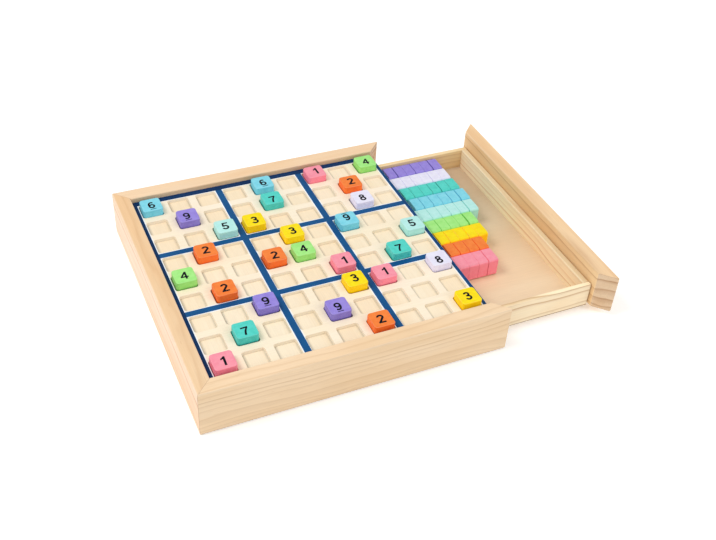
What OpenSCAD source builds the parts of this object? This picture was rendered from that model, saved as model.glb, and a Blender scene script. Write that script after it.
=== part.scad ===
// Wooden sudoku board: a square frame of three mitred rails and a drawer whose
// fascia is the fourth side, a recessed board with 81 pockets, and number tiles.
// Millimetres. The origin is the centre of the underside of the frame.
// +X is the way the drawer opens, +Y the back of the board, +Z up.

/* [Frame] */
// Outer size of the square frame
board_w = 244; // [225:1:265]
// Height of the rails
rail_h = 40; // [38:0.5:46]
// Thickness of the rails
rail_t = 13.1; // [12:0.1:14]
// Radius of the eased rail edges
edge_r = 1.0; // [0.5:0.1:1.8]
// Thickness of the base panel
base_t = 3.6; // [3:0.1:3.7]
// Width of the blunted tip at the open mitres
tip = 1.0; // [0.4:0.1:2]
// Width of the rebate that takes the base panel
rebate_w = 6; // [4:0.5:7]
// Thickness of the support strips under the board
cleat_t = 3; // [2:0.2:3.4]

/* [Board] */
// Depth of the board's top below the rail tops
board_drop = 4.7; // [3:0.1:6]
// Depth of the pockets, which is the thickness of the grid sheet
pocket_depth = 2.7; // [2:0.1:3.5]
// Thickness of the backing panel
backing_t = 3.3; // [2.5:0.1:4]
// Shift of the grid towards the back of the opening
grid_shift = -2.2; // [-2.4:0.1:2.4]

/* [Tiles] */
// Width of a tile
tile_w = 16.6; // [15:0.1:17]
// Thickness of a tile
tile_t = 8.9; // [7:0.1:9.4]
// Radius of the tile's upright corners
tile_r = 2.2; // [1:0.1:3]
// Room between a tile and its pocket, both sides together
tile_room = 0.9; // [0.7:0.1:1]
// Shift of the pockets off the middle of their cells
pocket_shift = -0.3; // [-0.3:0.1:0.3]

/* [Drawer] */
// How far the drawer stands open
pull_out = 97; // [0:1:150]
// Height of the fascia's bottom edge above the table
fascia_z = 5.4; // [4:0.1:7]
// Height of the drawer walls' bottom edges above the table
drawer_z = 4.0; // [3.8:0.1:4.4]
// Height of the drawer walls' top edges above the table
drawer_top = 26; // [25:0.5:27]
// Thickness of the long drawer walls
side_t = 4; // [3:0.1:5]
// Thickness of the end wall behind the fascia
outer_t = 6; // [4:0.1:7]
// Thickness of the end wall under the board
inner_t = 4; // [3:0.1:6]
// Thickness of the drawer floor
floor_t = 3.4; // [2.6:0.1:4]

/* [Hidden] */
$fn = 48;
half = board_w / 2;
open_half = half - rail_t;            // half of the opening between the rails
joint_gap = 0.4;                      // room between the rail ends and the closed fascia
board_top = rail_h - board_drop;
backing_top = board_top - pocket_depth;
backing_bottom = backing_top - backing_t;
cell = (2 * open_half - 1.8) / 9;     // pocket pitch
pocket_w = tile_w + tile_room;
bar_w = cell - pocket_w;
board_right = open_half - 0.3;        // right edge of the board
side_y = open_half - cleat_t - 0.4;   // outer faces of the long drawer walls
drawer_left = -open_half + cleat_t + 0.5;   // closed drawer, left end
drawer_right = open_half;                   // closed drawer, right end
floor_top = drawer_z + floor_t;
floor_let = 2;                        // how far the floor is let into the walls
sliver = 0.04;                        // keeps neighbouring pieces apart

// tints of the numbers 1 to 9
tint = ["#f58296", "#f57a2c", "#f7d417", "#93dc6c", "#aee8dc",
        "#62c4dc", "#45cdb8", "#e6e0f2", "#9a86dc"];
pine = "#efd3a4";
pine_dark = "#dfb683";
panel_tan = "#e6c8a0";

// drawer rows, from the back: [number, count, gap from the row's right end to the fascia]
rows = [[9, 6, 35.0], [8, 7, 35.0], [7, 6, 34.6], [6, 6, 33.3], [5, 7, 34.1],
        [4, 6, 43.5], [3, 5, 43.8], [2, 4, 52.3], [1, 5, 53.1]];
row_pitch = tile_w + 0.2;

// rail section in the plane across the rail: outer face at 0, eased long edges
module rail_section(z0, rebate) {
    difference() {
        union() {
            translate([edge_r, z0]) square([rail_t - 2 * edge_r, rail_h - z0]);
            translate([0, z0 + edge_r]) square([rail_t, rail_h - z0 - 2 * edge_r]);
            for (u = [edge_r, rail_t - edge_r], v = [z0 + edge_r, rail_h - edge_r])
                translate([u, v]) circle(edge_r);
        }
        if (rebate) translate([rail_t - rebate_w, -1]) square([rebate_w + 1, base_t + 1]);
    }
}

// a rail along X with its outer face at y = -half, cut to the outline given in plan
module rail_along_front(z0, rebate, plan) {
    intersection() {
        translate([-half, -half, 0]) rotate([90, 0, 90])
            linear_extrude(board_w) rail_section(z0, rebate);
        translate([0, 0, -1]) linear_extrude(rail_h + 2) polygon(plan);
    }
}

// plan of a rail with both ends mitred and glued
full_plan = [[-half, -half], [half, -half],
             [half - rail_t, -half + rail_t], [-half + rail_t, -half + rail_t]];
// the same with its right end cut back to clear the fascia, and its tip blunted
open_end = half - joint_gap;
open_plan = [[-half, -half], [open_end - tip, -half], [open_end - tip, -half + tip],
             [open_end - rail_t, -half + rail_t], [-half + rail_t, -half + rail_t]];
// the fascia's plan, both tips blunted
fascia_plan = [[-half + tip, -half], [half - tip, -half], [half - tip, -half + tip],
               [half - rail_t, -half + rail_t], [-half + rail_t, -half + rail_t],
               [-half + tip, -half + tip]];

module rail_front() { color(pine) rail_along_front(0, true, open_plan); }
module rail_back() { color(pine) mirror([0, 1, 0]) rail_along_front(0, true, open_plan); }
module rail_left() { color(pine) rotate([0, 0, -90]) rail_along_front(0, true, full_plan); }

module base_panel() {
    color(panel_tan)
        translate([-open_half - rebate_w, -open_half - rebate_w, 0])
            cube([2 * open_half + rebate_w, 2 * (open_half + rebate_w), base_t]);
}

// a flat-headed panel pin driven upwards, its head just below the surface
module panel_pin(x, y) {
    translate([x, y, 0.15]) cylinder(r = 1.3, h = 0.6);
    translate([x, y, 0.15]) cylinder(r = 0.6, h = 12);
}
module base_pins() {
    e = open_half + rebate_w / 2;
    color("silver") {
        for (s = [-1, 1], i = [0 : 3]) panel_pin(-open_half * 0.8 + i * open_half * 0.52, s * e);
        for (i = [-1 : 1]) panel_pin(-e, i * open_half * 0.6);
    }
}

module cleat_left() {
    color(pine_dark) translate([-open_half, -open_half + cleat_t, base_t])
        cube([cleat_t, 2 * (open_half - cleat_t), backing_bottom - base_t]);
}
module cleat_front() {
    color(pine_dark) translate([-open_half, -open_half, base_t])
        cube([open_half + board_right, cleat_t, backing_bottom - base_t]);
}
module cleat_back() { color(pine_dark) mirror([0, 1, 0]) cleat_front(); }

module board_backing() {
    color("#f4dcc0") translate([-open_half, -open_half, backing_bottom])
        cube([open_half + board_right, 2 * open_half, backing_t]);
}

// edges of the strips between the pockets, from the first outer edge to the last
function strip_lo(i, lo, shift) = i == 0 ? lo : (i - 4.5) * cell + shift - bar_w / 2;
function strip_hi(i, hi, shift) = i == 9 ? hi : (i - 4.5) * cell + shift + bar_w / 2;

// the sheet's ten long strips and the short strips that close the pockets
module grid_sheet() {
    color("#fbefd6") {
        for (j = [0 : 9]) {
            y0 = strip_lo(j, -open_half, grid_shift);
            y1 = strip_hi(j, open_half, grid_shift);
            translate([-open_half, y0, backing_top])
                cube([open_half + board_right, y1 - y0, pocket_depth]);
        }
        for (j = [0 : 8], i = [0 : 9]) {
            y0 = strip_hi(j, 0, grid_shift) + sliver;
            y1 = strip_lo(j + 1, 0, grid_shift) - sliver;
            x0 = strip_lo(i, -open_half, pocket_shift);
            x1 = strip_hi(i, board_right, pocket_shift);
            translate([x0, y0, backing_top]) cube([x1 - x0, y1 - y0, pocket_depth]);
        }
    }
}

module drawer_fascia() {
    color(pine) translate([pull_out, 0, 0]) rotate([0, 0, 90])
        rail_along_front(fascia_z, false, fascia_plan);
}

// section of a drawer wall with the floor's rebate on its inner side
module wall_section(t) {
    difference() {
        translate([0, drawer_z]) square([t, drawer_top - drawer_z]);
        translate([t - floor_let, 0]) square([floor_let + 1, floor_top]);
    }
}
module drawer_front_wall() {
    color(pine) translate([pull_out + drawer_left, -side_y, 0]) rotate([90, 0, 90])
        linear_extrude(drawer_right - drawer_left) wall_section(side_t);
}
module drawer_back_wall() { color(pine_dark) mirror([0, 1, 0]) drawer_front_wall(); }
module end_wall(t) {
    rotate([90, 0, 0]) translate([0, 0, -side_y + side_t])
        linear_extrude(2 * (side_y - side_t)) wall_section(t);
}
module drawer_inner_wall() {
    color(pine_dark) translate([pull_out + drawer_left, 0, 0]) end_wall(inner_t);
}
module drawer_outer_wall() {
    color(pine) translate([pull_out + drawer_right, 0, 0]) mirror([1, 0, 0]) end_wall(outer_t);
}
module drawer_floor() {
    y = side_y - side_t + floor_let;
    color("#e2c6a2")
        translate([pull_out + drawer_left + inner_t - floor_let, -y, drawer_z])
            cube([drawer_right - drawer_left - inner_t - outer_t + 2 * floor_let, 2 * y, floor_t]);
}

// one tile lying flat, centred, bottom at z = 0
module tile_solid() {
    linear_extrude(tile_t) union() {
        square([tile_w - 2 * tile_r, tile_w], center = true);
        square([tile_w, tile_w - 2 * tile_r], center = true);
        for (u = [-1, 1], v = [-1, 1])
            translate([u * (tile_w / 2 - tile_r), v * (tile_w / 2 - tile_r)]) circle(tile_r);
    }
}
// a tile in its pocket: row 1 is the back row, column 1 the left column
module seated_tile(n, r, c) {
    color(tint[n - 1])
        translate([(c - 5) * cell, (5 - r) * cell + grid_shift, backing_top + sliver]) tile_solid();
}
// a row of tiles standing on edge in the drawer, k counted from the back
module tile_row(k) {
    right = pull_out + drawer_right - rows[k][2];
    y = side_y - side_t - 0.4 - k * row_pitch - tile_w / 2;
    color(tint[rows[k][0] - 1])
        for (i = [1 : rows[k][1]])
            translate([right - i * (tile_t + sliver), y, floor_top + sliver + tile_w / 2])
                rotate([0, 90, 0]) tile_solid();
}

module drawer_tiles_1() { tile_row(8); }
module drawer_tiles_2() { tile_row(7); }
module drawer_tiles_3() { tile_row(6); }
module drawer_tiles_4() { tile_row(5); }
module drawer_tiles_5() { tile_row(4); }
module drawer_tiles_6() { tile_row(3); }
module drawer_tiles_7() { tile_row(2); }
module drawer_tiles_8() { tile_row(1); }
module drawer_tiles_9() { tile_row(0); }

module tile_1_r1c7() { seated_tile(1, 1, 7); }
module tile_1_r6c6() { seated_tile(1, 6, 6); }
module tile_1_r7c7() { seated_tile(1, 7, 7); }
module tile_1_r9c1() { seated_tile(1, 9, 1); }
module tile_2_r2c8() { seated_tile(2, 2, 8); }
module tile_2_r4c2() { seated_tile(2, 4, 2); }
module tile_2_r5c4() { seated_tile(2, 5, 4); }
module tile_2_r6c2() { seated_tile(2, 6, 2); }
module tile_2_r9c6() { seated_tile(2, 9, 6); }
module tile_3_r3c4() { seated_tile(3, 3, 4); }
module tile_3_r4c5() { seated_tile(3, 4, 5); }
module tile_3_r7c6() { seated_tile(3, 7, 6); }
module tile_3_r9c9() { seated_tile(3, 9, 9); }
module tile_4_r1c9() { seated_tile(4, 1, 9); }
module tile_4_r5c1() { seated_tile(4, 5, 1); }
module tile_4_r5c5() { seated_tile(4, 5, 5); }
module tile_5_r3c3() { seated_tile(5, 3, 3); }
module tile_5_r5c9() { seated_tile(5, 5, 9); }
module tile_6_r1c1() { seated_tile(6, 1, 1); }
module tile_6_r1c5() { seated_tile(6, 1, 5); }
module tile_6_r4c7() { seated_tile(6, 4, 7); }
module tile_7_r2c5() { seated_tile(7, 2, 5); }
module tile_7_r6c8() { seated_tile(7, 6, 8); }
module tile_7_r8c2() { seated_tile(7, 8, 2); }
module tile_8_r3c8() { seated_tile(8, 3, 8); }
module tile_8_r7c9() { seated_tile(8, 7, 9); }
module tile_9_r2c2() { seated_tile(9, 2, 2); }
module tile_9_r7c3() { seated_tile(9, 7, 3); }
module tile_9_r8c5() { seated_tile(9, 8, 5); }

rail_left();
rail_back();
rail_front();
base_panel();
base_pins();
cleat_left();
cleat_back();
cleat_front();
board_backing();
grid_sheet();
drawer_fascia();
drawer_outer_wall();
drawer_inner_wall();
drawer_back_wall();
drawer_front_wall();
drawer_floor();
drawer_tiles_1();
drawer_tiles_2();
drawer_tiles_3();
drawer_tiles_4();
drawer_tiles_5();
drawer_tiles_6();
drawer_tiles_7();
drawer_tiles_8();
drawer_tiles_9();
tile_1_r1c7();
tile_1_r6c6();
tile_1_r7c7();
tile_1_r9c1();
tile_2_r2c8();
tile_2_r4c2();
tile_2_r5c4();
tile_2_r6c2();
tile_2_r9c6();
tile_3_r3c4();
tile_3_r4c5();
tile_3_r7c6();
tile_3_r9c9();
tile_4_r1c9();
tile_4_r5c1();
tile_4_r5c5();
tile_5_r3c3();
tile_5_r5c9();
tile_6_r1c1();
tile_6_r1c5();
tile_6_r4c7();
tile_7_r2c5();
tile_7_r6c8();
tile_7_r8c2();
tile_8_r3c8();
tile_8_r7c9();
tile_9_r2c2();
tile_9_r7c3();
tile_9_r8c5();
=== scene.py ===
import math
import random

import bmesh
import bpy
import numpy as np
from mathutils import Matrix, Vector
from mathutils.geometry import delaunay_2d_cdt


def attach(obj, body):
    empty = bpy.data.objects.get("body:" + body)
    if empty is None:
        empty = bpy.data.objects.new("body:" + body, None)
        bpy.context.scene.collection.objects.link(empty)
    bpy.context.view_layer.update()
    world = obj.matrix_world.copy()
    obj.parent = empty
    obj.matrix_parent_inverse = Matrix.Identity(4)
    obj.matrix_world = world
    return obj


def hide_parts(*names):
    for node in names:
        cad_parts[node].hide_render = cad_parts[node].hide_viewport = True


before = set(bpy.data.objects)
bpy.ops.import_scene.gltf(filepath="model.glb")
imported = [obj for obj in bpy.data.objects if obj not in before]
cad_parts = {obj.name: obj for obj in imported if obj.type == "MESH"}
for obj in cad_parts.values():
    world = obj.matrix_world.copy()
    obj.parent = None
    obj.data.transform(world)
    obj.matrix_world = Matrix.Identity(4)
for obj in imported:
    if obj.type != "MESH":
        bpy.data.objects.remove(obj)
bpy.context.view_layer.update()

MM = 0.001

# ---------------------------------------------------------------- sizes, mm
HALF = 122.0          # half of the square frame
RAIL_H = 40.0
RAIL_T = 13.1
OPEN = HALF - RAIL_T  # half of the opening between the rails
BOARD_TOP = 35.3
POCKET_FLOOR = 32.6
BACKING_BOTTOM = 29.3
CELL = 24.0
POCKET = 17.5
POCKET_X = -0.3       # the pockets sit this far off the middle of their cells
SHIFT_Y = -2.2        # the grid sits this far off the middle of the opening
BOARD_RIGHT = 108.6
TILE_W, TILE_T, TILE_R = 16.6, 8.9, 2.3
PULL = 97.0           # how far the drawer stands open
FASCIA_Z = 5.4
SIDE_Y = 105.5
DRAWER_L = -105.4 + PULL
DRAWER_R = 108.9 + PULL
DRAWER_Z, DRAWER_TOP, FLOOR_TOP = 4.0, 26.0, 7.4
BASE_T = 3.6
CLEAT_T = 3.0

SEATED = [
    (1, 1, 7), (1, 6, 6), (1, 7, 7), (1, 9, 1),
    (2, 2, 8), (2, 4, 2), (2, 5, 4), (2, 6, 2), (2, 9, 6),
    (3, 3, 4), (3, 4, 5), (3, 7, 6), (3, 9, 9),
    (4, 1, 9), (4, 5, 1), (4, 5, 5),
    (5, 3, 3), (5, 5, 9),
    (6, 1, 1), (6, 1, 5), (6, 4, 7),
    (7, 2, 5), (7, 6, 8), (7, 8, 2),
    (8, 3, 8), (8, 7, 9),
    (9, 2, 2), (9, 7, 3), (9, 8, 5),
]
# where each seated tile lies in its pocket, x and y, and where its numeral is printed on it, x, y and turn
PLACED = {
    (1, 1): (-0.1, -0.4, -0.03, -1.58, 5.2), (1, 5): (0.15, -0.35, 0.08, -1.49, 6.5),
    (1, 7): (0.15, -0.26, 0.92, 0.27, 1.2), (1, 9): (0.15, -0.03, 0, -0.92, -1.2),
    (2, 2): (-0.23, 0.03, -1.02, -1.73, 3.5), (2, 5): (0.15, -0.38, -0.13, -2.2, 2.8),
    (2, 8): (-0.28, -0.4, 0.07, 0, -0.5), (3, 3): (0.13, 0.13, -0.51, -0.43, -0.8),
    (3, 4): (0.15, 0.4, 0.26, -1.09, 0.5), (3, 8): (0.15, -0.11, -0.56, -1.51, 2.5),
    (4, 2): (0.13, -0.16, -0.06, -0.03, -3), (4, 5): (0.07, 0.06, -0.06, -0.3, -0.5),
    (4, 7): (0.11, 0.26, -0.1, 1.85, 3.5), (5, 1): (0.15, 0.4, -0.18, -0.55, -0.5),
    (5, 4): (0.15, 0.4, -0.04, -0.82, -2.8), (5, 5): (0.15, 0.03, -0.19, -0.55, 1),
    (5, 9): (0.06, 0.1, -0.86, 0.06, -1.3), (6, 2): (0.15, 0.4, -0.12, -0.38, 1.2),
    (6, 6): (0.15, 0.26, 0.39, -1.2, -1), (6, 8): (0.15, 0.08, -0.54, -1.62, -0.8),
    (7, 3): (-0.06, 0.38, -0.38, -1.4, 0.5), (7, 6): (-0.45, 0.4, -0.13, 0.44, 1.5),
    (7, 7): (0.15, 0.4, 0.45, -0.38, -1.8), (7, 9): (-0.43, 0.33, -1.12, -2.14, 1.8),
    (8, 2): (-0.24, 0.4, -0.33, -1.82, 3.5), (8, 5): (-0.45, 0.32, -0.58, -1.73, 3.2),
    (9, 1): (-0.15, 0.4, -0.15, -0.96, -2.5), (9, 6): (-0.45, 0.4, -0.49, -0.38, -0.5),
    (9, 9): (-0.32, 0.4, -0.72, -0.35, 2.5),
}
# drawer rows from the back: number, count, gap from the row's right end to the fascia
ROWS = [(9, 6, 35.0), (8, 7, 35.0), (7, 6, 34.6), (6, 6, 33.3), (5, 7, 34.1),
        (4, 6, 43.5), (3, 5, 43.8), (2, 4, 52.3), (1, 5, 53.1)]
# how far apart the tiles of each row lean, from the right end
LEAN = {9: (0.95, 0.12, 0.5, 0.12, 0.95), 8: (0.12, 0.5, 0.12, 0.3, 0.35, 0.15), 7: (0.25, 0.85, 0.45, 0.15, 0.35),
        6: (0.95, 0.6, 0.3, 0.5, 0.5), 5: (0.9, 0.3, 0.35, 0.3, 0.25, 0.15), 4: (1.3, 0.25, 0.25, 0.5, 0.2),
        3: (0.15, 0.45, 0.15, 0.45), 2: (0.5, 0.35, 0.55), 1: (0.6, 0.12, 0.08, 0.08)}

# printed lines on the board
BAR = 2.7             # half width of a line
RIM = 0.85            # white outline beside it
INNER_X = [-36.1, 35.98]
INNER_Y = [-38.35, 33.5]
LEFT, RIGHT, BACK, FRONT = -105.8, (105.5, 108.35), 103.2, -107.6   # the border lines' edges


def lin(r, g, b):
    """A display colour, 0 to 255, as the linear colour a shader takes."""
    def one(v):
        v /= 255.0
        return v / 12.92 if v <= 0.04045 else ((v + 0.055) / 1.055) ** 2.4
    return (one(r), one(g), one(b), 1.0)


# ---------------------------------------------------------------- node helpers
class Surface:
    """A node material, with short calls for the nodes used here."""

    def __init__(self, name):
        self.mat = bpy.data.materials.new(name)
        self.mat.use_nodes = True
        self.tree = self.mat.node_tree
        self.tree.nodes.clear()
        out = self.tree.nodes.new("ShaderNodeOutputMaterial")
        self.bsdf = self.tree.nodes.new("ShaderNodeBsdfPrincipled")
        self.tree.links.new(self.bsdf.outputs[0], out.inputs[0])
        self.coord = self.tree.nodes.new("ShaderNodeTexCoord").outputs["Object"]

    def put(self, value, socket):
        if isinstance(value, bpy.types.NodeSocket):
            self.tree.links.new(value, socket)
        else:
            socket.default_value = value

    def set(self, **named):
        for key, value in named.items():
            self.put(value, self.bsdf.inputs[key.replace("_", " ")])

    def math(self, op, a, b=0.0, clamp=False):
        n = self.tree.nodes.new("ShaderNodeMath")
        n.operation, n.use_clamp = op, clamp
        self.put(a, n.inputs[0])
        self.put(b, n.inputs[1])
        return n.outputs[0]

    def vec(self, op, a, b=(0, 0, 0)):
        n = self.tree.nodes.new("ShaderNodeVectorMath")
        n.operation = op
        self.put(a, n.inputs[0])
        if op == "SCALE":
            self.put(b, n.inputs["Scale"])
        else:
            self.put(b, n.inputs[1])
        return n.outputs["Value"] if op in ("LENGTH", "DOT_PRODUCT") else n.outputs["Vector"]

    def mapping(self, v, loc=(0, 0, 0), rot=(0, 0, 0), scale=(1, 1, 1)):
        n = self.tree.nodes.new("ShaderNodeMapping")
        self.put(v, n.inputs["Vector"])
        n.inputs["Location"].default_value = loc
        n.inputs["Rotation"].default_value = rot
        n.inputs["Scale"].default_value = scale
        return n.outputs[0]

    def noise(self, v, scale=1.0, detail=2.0, rough=0.5, distortion=0.0, colour=False):
        n = self.tree.nodes.new("ShaderNodeTexNoise")
        self.put(v, n.inputs["Vector"])
        n.inputs["Scale"].default_value = scale
        n.inputs["Detail"].default_value = detail
        n.inputs["Roughness"].default_value = rough
        n.inputs["Distortion"].default_value = distortion
        return n.outputs["Color"] if colour else n.outputs[0]

    def white(self, w):
        n = self.tree.nodes.new("ShaderNodeTexWhiteNoise")
        n.noise_dimensions = "1D"
        self.put(w, n.inputs["W"])
        return n.outputs["Value"]

    def ramp(self, fac, stops, mode="LINEAR"):
        n = self.tree.nodes.new("ShaderNodeValToRGB")
        n.color_ramp.interpolation = mode
        el = n.color_ramp.elements
        while len(el) < len(stops):
            el.new(0.5)
        for e, (p, c) in zip(el, stops):
            e.position = p
            e.color = c if hasattr(c, "__len__") else (c, c, c, 1.0)
        self.put(fac, n.inputs[0])
        return n.outputs[0]

    def mix(self, fac, a, b, blend="MIX"):
        n = self.tree.nodes.new("ShaderNodeMix")
        n.data_type, n.blend_type = "RGBA", blend
        n.clamp_factor = True
        self.put(fac, n.inputs[0])
        self.put(a, n.inputs[6])
        self.put(b, n.inputs[7])
        return n.outputs[2]

    def span(self, v, a, b, c, d, smooth=False):
        n = self.tree.nodes.new("ShaderNodeMapRange")
        n.interpolation_type = "SMOOTHSTEP" if smooth else "LINEAR"
        self.put(v, n.inputs[0])
        for i, x in enumerate((a, b, c, d)):
            n.inputs[i + 1].default_value = x
        return n.outputs[0]

    def xyz(self, v):
        n = self.tree.nodes.new("ShaderNodeSeparateXYZ")
        self.put(v, n.inputs[0])
        return n.outputs

    def rim(self):
        """1 on the eased edges, 0 on the flats, as stored on the mesh."""
        n = self.tree.nodes.new("ShaderNodeAttribute")
        n.attribute_name = "rim"
        return n.outputs["Fac"]

    def normal(self):
        return self.tree.nodes.new("ShaderNodeNewGeometry").outputs["Normal"]

    def bump(self, height, strength, distance):
        n = self.tree.nodes.new("ShaderNodeBump")
        n.inputs["Strength"].default_value = strength
        n.inputs["Distance"].default_value = distance
        self.put(height, n.inputs["Height"])
        self.put(n.outputs[0], self.bsdf.inputs["Normal"])


# ---------------------------------------------------------------- materials
def pine(name, grain, seed, pale, deep, line, ring=4.4, heart=(-18.0, -110.0), wave=5.0,
         strength=0.75, ends_dark=(0.74, 0.70, 0.70, 1.0), ends_pale=(0.88, 0.86, 0.88, 1.0), rough=0.52,
         even=0.28, upper=None, painted_foot_shade=None):
    """Solid pine: growth rings round a heart axis along the grain, so that the long faces
    show wandering lines and the cut ends show the rings themselves."""
    s = Surface(name)
    turn = (0, 0, 0) if grain == "X" else (0, 0, -math.pi / 2)
    p = s.mapping(s.coord, rot=turn)
    q = s.mapping(p, loc=(seed * 1.37, seed * 0.61, seed * 0.29))
    # slow wander of the rings along the board
    slow = s.noise(s.mapping(q, scale=(7.5, 22, 22)), 1.0, 2.0, 0.45, colour=True)
    quick = s.noise(s.mapping(q, scale=(30, 120, 120)), 1.0, 2.0, 0.5, colour=True)
    drift = s.vec("SCALE", s.vec("SUBTRACT", slow, (0.5, 0.5, 0.5)), wave * 2 * MM)
    shake = s.vec("SCALE", s.vec("SUBTRACT", quick, (0.5, 0.5, 0.5)), 1.3 * MM)
    bent = s.vec("ADD", s.vec("ADD", p, drift), shake)
    flat = s.vec("MULTIPLY", s.vec("SUBTRACT", bent, (0, heart[0] * MM, heart[1] * MM)), (0, 1, 1))
    turns = s.math("MULTIPLY", s.vec("LENGTH", flat), 1.0 / (ring * MM))
    # rings differ in width and in how dark their late wood is
    turns = s.math("ADD", turns, s.math("MULTIPLY", s.noise(s.mapping(q, scale=(3, 60, 60)), 1.0, 1.0), 1.1))
    uneven = s.noise(s.vec("SCALE", s.vec("ADD", (seed, 0.0, 0.0), s.vec("SCALE", (1.0, 0.0, 0.0), turns)), 0.55), 1.0, 1.0)
    turns = s.math("ADD", turns, s.math("MULTIPLY", uneven, 3.2))
    phase = s.math("FRACT", turns)
    which = s.math("FLOOR", turns)
    late = s.ramp(phase, [(0.0, 0.12), (0.14, 0.0), (0.50, 0.06), (0.76, 0.45), (0.90, 1.0), (1.0, 0.12)])
    odds = s.white(s.math("ADD", which, seed))
    late = s.math("MULTIPLY", late, s.span(s.math("MULTIPLY", odds, odds), 0, 1, even, 1.0))
    # fibres and broad colour drift
    fibre = s.noise(s.mapping(q, scale=(45, 1500, 1500)), 1.0, 3.0, 0.6)
    broad = s.noise(s.mapping(q, scale=(9, 45, 45)), 1.0, 3.0, 0.5)
    body = s.mix(s.span(broad, 0.32, 0.68, 0, 1, True), pale, deep)
    col = s.mix(s.math("MULTIPLY", late, strength), body, line)
    col = s.mix(1.0, col, s.ramp(fibre, [(0.25, 0.93), (0.75, 1.04)]), "MULTIPLY")
    # short dark resin flecks lying along the grain
    fleck = s.noise(s.mapping(q, loc=(3.1, 1.7, 0.4), scale=(90, 1100, 1100)), 1.0, 1.0)
    col = s.mix(s.span(fleck, 0.70, 0.80, 0, 0.30, True), col, line)
    # cut ends drink the finish and look darker
    axis = (1, 0, 0) if grain == "X" else (0, 1, 0)
    along = s.math("ABSOLUTE", s.vec("DOT_PRODUCT", s.normal(), axis))
    ends = s.span(along, 0.45, 0.68, 0, 1, True)
    pore = s.noise(s.mapping(q, scale=(900, 900, 900)), 1.0, 2.0, 0.6)
    cut = s.mix(1.0, col, s.mix(pore, ends_dark, ends_pale), "MULTIPLY")
    cut = s.mix(s.math("MULTIPLY", late, 0.75), cut, s.mix(1.0, line, (0.80, 0.78, 0.80, 1.0), "MULTIPLY"))
    col = s.mix(ends, col, cut)
    # paler eased edges: partly wear, partly a painted highlight
    wear_and_highlight = s.math("MULTIPLY", s.rim(), s.span(broad, 0.35, 0.65, 0.03, 0.20, True))
    col = s.mix(wear_and_highlight, col, s.mix(0.6, pale, (1.0, 0.97, 0.90, 1.0)))
    if upper:
        # painted light and shade: the upward faces take a tone of their own, which sets how bright the tops look beside
        # the sides
        up = s.span(s.xyz(s.normal())[2], 0.75, 0.97, 0, 1, True)
        col = s.mix(up, col, s.mix(1.0, col, upper, "MULTIPLY"))
    if painted_foot_shade:
        # painted shade: the lowest edge of the upright faces is darkened, standing in for the contact shadow near the
        # table
        low, high, tone = painted_foot_shade
        foot_shade = s.span(s.xyz(s.coord)[2], low * MM, high * MM, 1, 0, True)
        foot_shade = s.math("MULTIPLY", foot_shade, s.span(s.math("ABSOLUTE", s.xyz(s.normal())[2]), 0.80, 0.96, 1, 0, True))
        col = s.mix(foot_shade, col, s.mix(1.0, col, tone, "MULTIPLY"))
    s.set(Base_Color=col)
    s.set(Roughness=s.span(s.math("ADD", s.math("MULTIPLY", fibre, 0.7), s.math("MULTIPLY", late, 0.3)),
                           0.2, 0.8, rough - 0.07, rough + 0.10))
    s.bsdf.inputs["Specular IOR Level"].default_value = 0.25
    s.bump(s.math("ADD", s.math("MULTIPLY", fibre, 0.6), s.math("MULTIPLY", late, 0.5)), 0.22, 0.00012)
    return s.mat


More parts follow.
